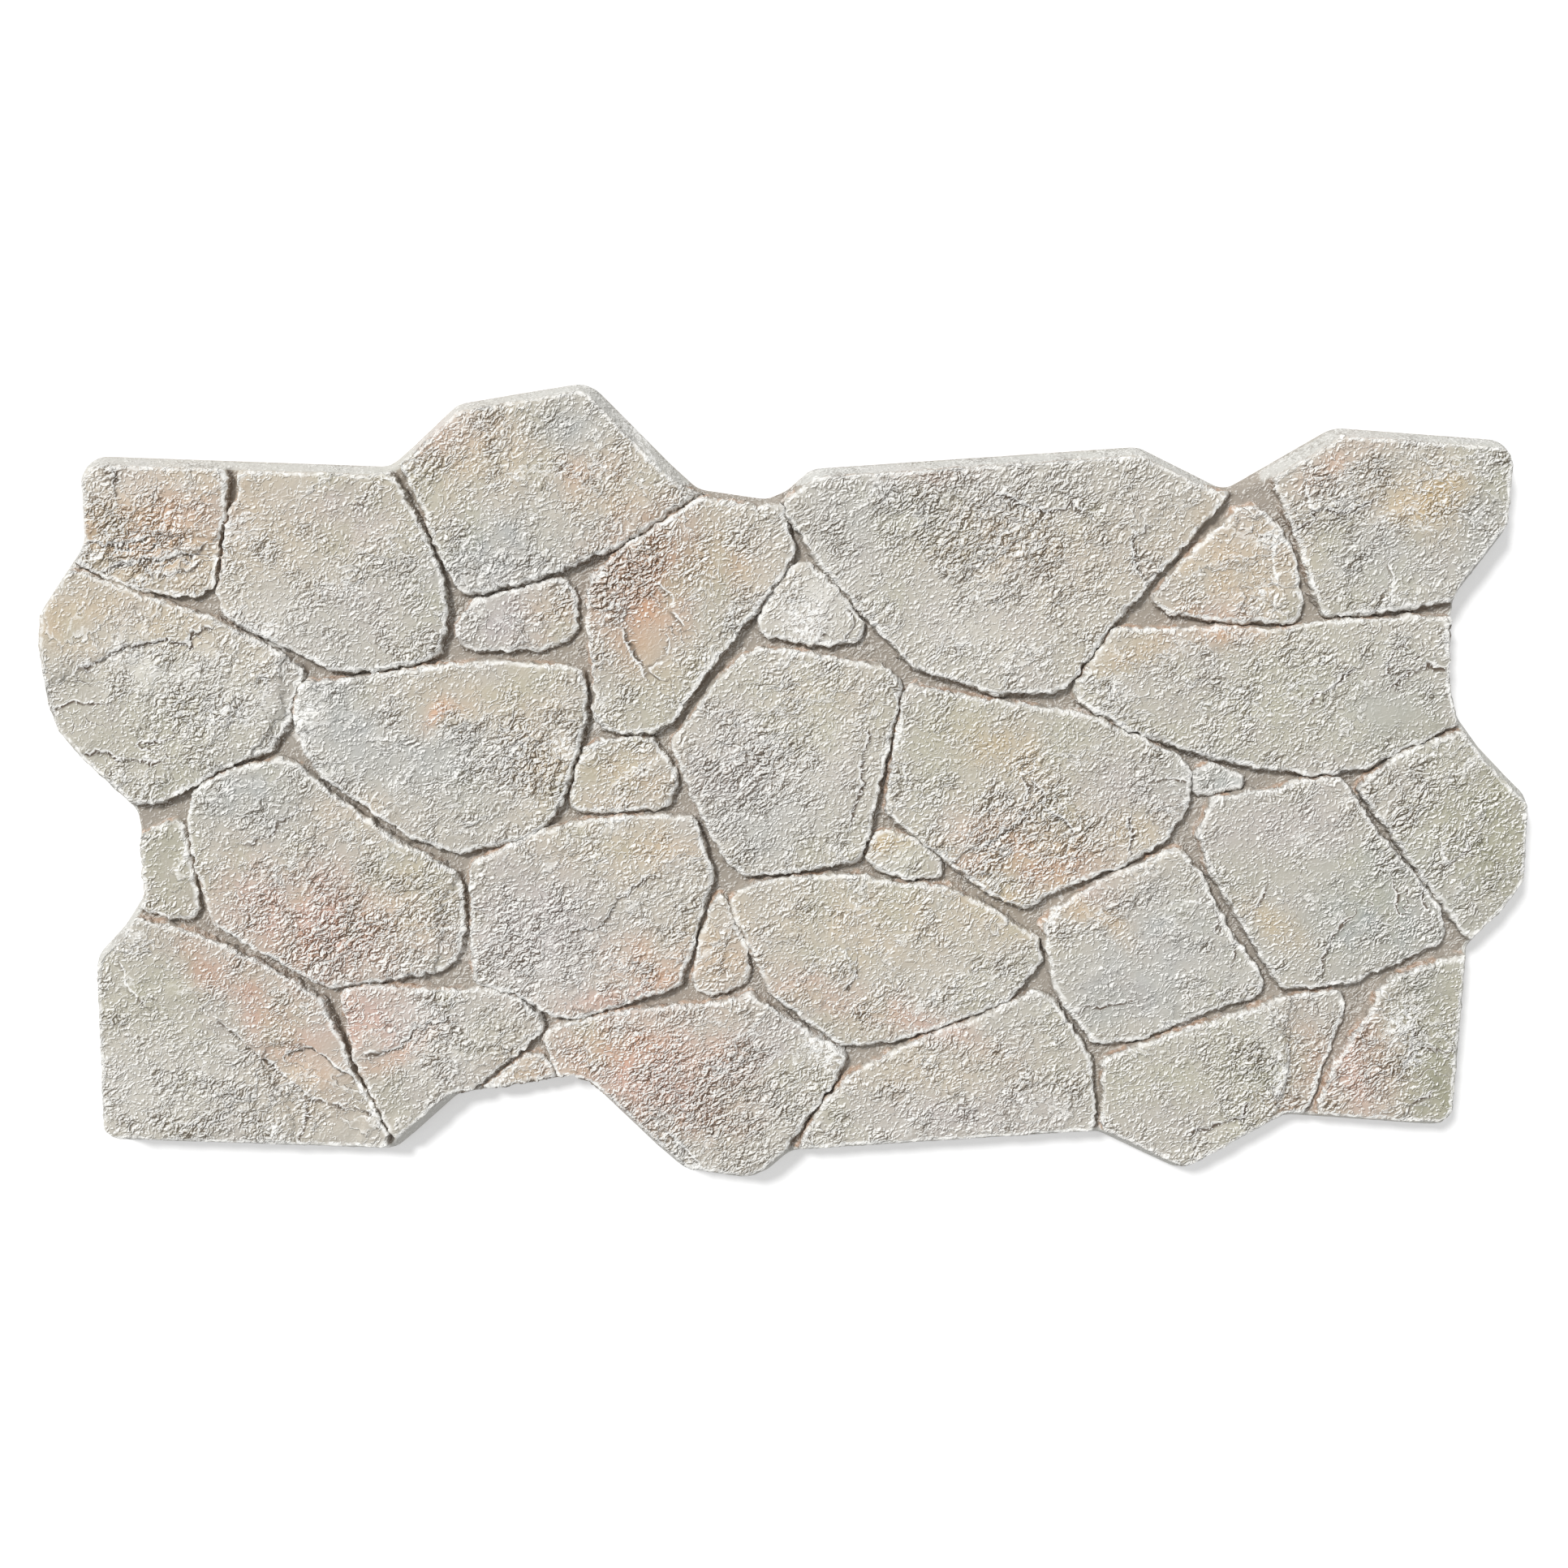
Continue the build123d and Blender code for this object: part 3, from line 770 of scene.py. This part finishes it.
rest, bed = stored("rest", "FLOAT_VECTOR"), stored("bedding", "FLOAT_VECTOR")
rim, edge_in = stored("rim_gap"), stored("edge_gap")
height_above_back = Signal.of(weathering, "ShaderNodeSeparateXYZ", None, {0: rest}, 2) / MM
print("inputs", ", ".join(SIZES))

# %% Nibble the rims
free_to_nibble = height_above_back.ramp(9.0, 17.0) * (0.35 + 0.65 * edge_in.ramp(5.0, 13.0))
sideways = (noise(rest, 7.5, 3.0, 0.6, 0.0, "Color") - (0.5, 0.5, 0.5)) * (2.0, 2.0, 0.0)
sideways = sideways * (size["Rim nibble"] * free_to_nibble)

# %% Raise and lower the faces and the mortar
CEILING = 25.8
PRESSED = 0.7

on_stone = rim.ramp(-1.5, 0.8)
layers, layer_edge = split_steps(bed)
swell = (noise(bed + (0.7, 0.1, 0.0), 85.0, 1.0) - 0.5) * size["Face swell"]
lump = (noise(bed, 9.0, 3.0, 0.6) - 0.5) * size["Face lump"] * (0.7 + stored("rough") * 0.6)
roll = rim.ramp(5.0, -0.5) * size["Rim roll"]
face = swell + lump + layers * size["Layer height"] - roll - stored("drop")
mortar = (noise(rest, 9.0, 3.0, 0.6) - 0.5) * size["Mortar lump"]
rise = (face * on_stone + mortar * (1.0 - on_stone)) * edge_in.ramp(4.0, 9.0)
too_high = Signal.of(weathering, "ShaderNodeMath", {"operation": "MAXIMUM"},
                     {0: height_above_back + rise - CEILING, 1: 0.0})
rise = (rise - too_high * PRESSED) * height_above_back.ramp(2.0, 8.0)
upward = Signal.of(weathering, "ShaderNodeCombineXYZ", None, {2: rise})

# %% Move the points and set the finish
moved = Signal.of(weathering, "GeometryNodeSetPosition", None,
                  {"Geometry": Signal(weathering, entry.outputs["Geometry"]),
                   "Offset": (sideways + upward) * MM})
whole = Signal.of(weathering, "GeometryNodeRealizeInstances", None, {"Geometry": moved})
whole = Signal.of(weathering, "GeometryNodeSetMaterial", None,
                  {"Geometry": whole, "Material": Signal(weathering, entry.outputs["Finish"])})
weathering.links.new(whole.socket, weathering.nodes.new("NodeGroupOutput").inputs[0])
print("nodes in the weathering tree", len(weathering.nodes))

# %% Weather the skin and thin it out
TRIANGLES = 190000
SHARP = math.radians(60.0)

finish = bpy.data.materials.new("painted sanded coat")
weather = skin.modifiers.new("weathering", "NODES")
weather.node_group = weathering
for item in weathering.interface.items_tree:
    if item.name in SIZES:
        weather[item.identifier] = SIZES[item.name]
    if item.name == "Finish":
        weather[item.identifier] = finish
mesh = applied("weathered skin")
thin = skin.modifiers.new("thin", "DECIMATE")
thin.ratio = min(1.0, TRIANGLES / (2.0 * len(mesh.polygons)))
thin.use_collapse_triangulate = True
mesh = applied("panel skin")
mesh.shade_smooth()
mesh.set_sharp_from_angle(angle=SHARP)

# %% [markdown]
# ## The painted coat
# The coat is a dry matt plaster with sand in it, worked into short crooked ridges. A taupe goes
# into the joints, and last a nearly dry brush of white drags over the rims and the layer edges. On
# the side of the grain and of the rims that faces the lamp the same white is painted highlight, and
# the far side of the grain gets painted shade. Ridges and brush marks are finer than the mesh, so
# they are bump and colour from the same formulas.

# %% Ways to paint
finish.use_nodes = True
coat = finish.node_tree
coat.nodes.clear()


def painted(name, output="Fac"):
    """What the skin keeps under a name, read by the material."""
    return Signal.of(coat, "ShaderNodeAttribute", {"attribute_name": name}, None, output)


def over(under, top, cover):
    """One colour laid over another as far as it covers."""
    top = top if isinstance(top, Signal) else (*top, 1.0)
    return Signal.of(coat, "ShaderNodeMix", {"data_type": "RGBA"}, {0: cover, 6: under, 7: top}, 2)


rest, bed = painted("rest", "Vector"), painted("bedding", "Vector")
rim, edge_in, gap = painted("rim_gap"), painted("edge_gap"), painted("break_gap")
shelter, break_side = painted("sheltered_side"), painted("break_shade")
on_stone = rim.ramp(-1.6, 0.4)
wall = edge_in.ramp(7.5, 6.0) * rim.ramp(-9.0, -6.0)
print("nodes for the measures", len(coat.nodes))

# %% [markdown]
# Where the coat is coarse it has more of the large clumps and chips, and where it is
# smooth hardly any grain is left. The ridges are noise cut off at one level, so that
# each has a flat top and a steep side.

# %% Coarse and smooth coat
patchy = noise(rest, 22.0, 2.0, 0.55)
rough = painted("rough") + (patchy - 0.5) * 2.6
coarse = rough.ramp(-0.25, 0.75)
smooth = (rough + (noise(rest, 9.0, 2.0) - 0.5) * 1.2).ramp(-0.25, -0.85)
cover = (0.45 + 0.55 * on_stone) * (1.0 - 0.8 * smooth)
lumpy = 0.1 + 1.3 * coarse
sparse = 0.11 - 0.13 * coarse

# %% Grain
COMBED = math.radians(-35.0)
STRETCH = 0.72
WORM, CLUMP, CHIP = 1.85, 5.2, 9.5
BUMP_DEPTH = 0.8


def ridges(at):
    """Height of the worked coat at a place, 0 to about 3, combed in one direction."""
    combed = Signal.of(coat, "ShaderNodeVectorRotate", {"rotation_type": "Z_AXIS"},
                       {"Vector": at, "Angle": COMBED}) * (STRETCH, 1.0, 1.0)
    worms = (noise(combed, WORM, 1.0, 0.5, 0.6) - sparse).ramp(0.38, 0.62)
    clumps = noise(combed + (0.4, 0.9, 0.0), CLUMP, 3.0, 0.63, 0.8).ramp(0.44, 0.56)
    chips = noise(combed + (1.3, 0.2, 0.0), CHIP, 3.0, 0.6, 0.6).ramp(0.47, 0.54)
    return worms * 0.7 + clumps * lumpy + chips * coarse


layers, layer_edge = split_steps(bed)
height = (ridges(rest) * cover + layers * on_stone) * BUMP_DEPTH
bump = Signal.of(coat, "ShaderNodeBump", None,
                 {"Strength": 1.0, "Distance": 1.0, "Height": height * MM})

# %% [markdown]
# Painted highlight and painted shade catch the two sides of each ridge: highlight on the side that
# faces the lamp, shade on the far side. The sides are found by the difference in height between a
# place a little nearer the lamp and one a little farther.

# %% The lit and the far side of the grain
REACH = 0.45 * MM
TOWARDS_LAMP = (-0.7 * REACH, 0.7 * REACH, 0.0)

slope = ridges(rest - TOWARDS_LAMP) - ridges(rest + TOWARDS_LAMP)
# Painted highlight on the side of each ridge that faces the lamp, painted shade on the far side.
lit_side = slope.ramp(0.04, 0.36) * cover
far_side = slope.ramp(-0.05, -0.5) * cover
print("nodes with the grain", len(coat.nodes))

# %% [markdown]
# The colours are laid over each other in a painter's order: the washes, a taupe in the joints with
# peach as painted light on the side that faces the lamp and painted shade at the foot of the
# sheltered side, painted shade on the far side of the grain, dark glaze with painted shade in the
# cracks, and the white brush with painted highlight last. Each layer is one Mix node, and the
# measures kept on the skin say where it goes.

# %% Washes, edge walls and joints
mottle = noise(rest, 60.0, 4.0, 0.6)
colour = painted("paint", "Color")
colour = over(colour, tuple(PAINTS["olive"]), mottle.ramp(0.5, 0.7) * 0.4)
colour = over(colour, tuple(PAINTS["lilac"]), mottle.ramp(0.48, 0.3) * 0.25)
colour = over(colour, tuple((PAINTS["blue grey"] + PAINTS["white"]) / 2), 0.65 * wall)
joint = over(colour, tuple(PAINTS["mortar"]), 0.85)
# Peach on the joint walls that face the lamp: painted light.
painted_lit_peach = shelter.ramp(-0.1, -0.7) * rim.ramp(-4.5, -1.5) * patchy.ramp(0.42, 0.58)
joint = over(joint, tuple(PAINTS["peach"]), painted_lit_peach * 0.75)
# Dark at the foot of the joint on the side sheltered from the lamp: painted shade.
joint_painted_shade = shelter.ramp(-0.3, 0.5) * rim.ramp(-6.0, -2.0) * 0.75
joint = over(joint, tuple(PAINTS["dark glaze and painted shade"]), joint_painted_shade)
not_joint = Signal.of(coat, "ShaderNodeClamp", None, {0: on_stone + wall})
colour = over(joint, colour, not_joint)

# %% Painted shade in the grain, and dark glaze with painted shade in the cracks
# The side of each ridge away from the lamp darkened: painted shade.
grain_painted_shade = colour * tuple(PAINTS["shade"] / PAINTS["stone"])
colour = over(colour, grain_painted_shade, far_side * (0.3 + 0.65 * coarse))
broken = noise(rest, 6.0, 2.0).ramp(0.36, 0.5)
# Dark glaze in the cracks, strongest where the low side faces away from the lamp: glaze and painted
# shade.
crack_glaze_and_shade = gap.ramp(-3.6, -1.6) * gap.ramp(0.8, -0.2) * break_side.ramp(-0.9, 0.4)
crack_glaze_and_shade = crack_glaze_and_shade * on_stone * (0.55 + 0.45 * broken)
colour = over(colour, tuple(PAINTS["dark glaze and painted shade"]), crack_glaze_and_shade)

# %% [markdown]
# A dry brush touches only what stands up, so the white goes on the rims and the edges of the breaks
# and layers. On the side of the grain and of the rims that faces the lamp the same white is painted
# highlight. Noise breaks it up, as the hairs of the brush do.

# %% Dry brush
flecks = noise(rest, 3.4, 3.0, 0.6, 0.5).ramp(0.46, 0.55)
ragged = noise(rest, 5.0, 2.0).ramp(0.38, 0.56)
rim_brush_and_highlight = rim.ramp(-1.0, 0.0) * rim.ramp(3.4, 1.0) * (0.3 + 0.8 * ragged)
# Rims whiter on the side that faces the lamp: painted highlight over the dry brush.
rim_brush_and_highlight = rim_brush_and_highlight * (0.65 + 0.45 * shelter.ramp(0.3, -0.4))
edge_brush = gap.ramp(-1.0, 0.1) * gap.ramp(1.6, 0.4) * broken
# White on the side of the grain that faces the lamp: painted highlight.
dry_brush_and_highlight = lit_side * (0.7 + 0.3 * noise(bed, 45.0, 2.0).ramp(0.45, 0.65) + 0.45 * flecks)
dry_brush_and_highlight = dry_brush_and_highlight + rim_brush_and_highlight + (edge_brush + layer_edge * 0.6) * on_stone * 0.9
dry_brush_and_highlight = dry_brush_and_highlight + painted("white").ramp(0.2, 0.75) * flecks
dry_brush_and_highlight = Signal.of(coat, "ShaderNodeClamp", None, {0: dry_brush_and_highlight})
colour = over(colour, tuple(PAINTS["highlight"]), dry_brush_and_highlight)

# %% The surface
surface = Signal.of(coat, "ShaderNodeBsdfPrincipled", None,
                    {"Base Color": colour, "Roughness": 0.85, "Normal": bump,
                     "Specular IOR Level": 0.25})
out = coat.nodes.new("ShaderNodeOutputMaterial")
coat.links.new(surface.socket, out.inputs["Surface"])
print("nodes in the coat", len(coat.nodes))

# %% [markdown]
# ## The floor and the sky
# A plain pale floor under the panel and an even sky over it. What the camera sees of
# them directly is lifted to white, and the shadow of the panel stays on the floor.

# %% Floor
SPAN = 6.0
BELOW = -0.3 * MM
LIFT = 0.3

floor_mesh = bpy.data.meshes.new("floor")
floor_mesh.from_pydata([(-SPAN, -SPAN, BELOW), (SPAN, -SPAN, BELOW), (SPAN, SPAN, BELOW),
                        (-SPAN, SPAN, BELOW)], [], [(0, 1, 2, 3)])
floor = bpy.data.objects.new("floor", floor_mesh)
bpy.context.scene.collection.objects.link(floor)
pale = bpy.data.materials.new("pale floor")
pale.use_nodes = True
shader = pale.node_tree.nodes["Principled BSDF"]
shader.inputs["Base Color"].default_value = (0.8, 0.8, 0.8, 1.0)
shader.inputs["Roughness"].default_value = 0.9
shader.inputs["Emission Color"].default_value = (1.0, 1.0, 1.0, 1.0)
seen = Signal.of(pale.node_tree, "ShaderNodeLightPath", None, None, "Is Camera Ray")
pale.node_tree.links.new((seen * LIFT).socket, shader.inputs["Emission Strength"])
floor_mesh.materials.append(pale)
floor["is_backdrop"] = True
print("floor", 2 * SPAN, "m square")

# %% Sky
SKY_STRENGTH = 0.48

sky = bpy.data.worlds.new("sky")
sky.use_nodes = True
background = sky.node_tree.nodes["Background"]
background.inputs["Color"].default_value = (1.0, 1.0, 1.0, 1.0)
seen = Signal.of(sky.node_tree, "ShaderNodeLightPath", None, None, "Is Camera Ray")
strength = seen * (1.0 - SKY_STRENGTH) + SKY_STRENGTH
sky.node_tree.links.new(strength.socket, background.inputs["Strength"])
bpy.context.scene.world = sky
print("sky strength", SKY_STRENGTH)

# %% [markdown]
# ## Hand over
# The skin stands for the solid and rides on the only body. Its box is kept beside the box of the
# solid.

# %% Hand over
skin.name = "moulded_panel"
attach(skin, "root")
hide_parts("stone_panel")
low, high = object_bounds()
sizes = {"cad": [list(cad_low), list(cad_high)], "visual": [list(low), list(high)]}
print("skin", [round(v / MM, 1) for v in high - low], "mm, lowest", round(low.z / MM, 2))
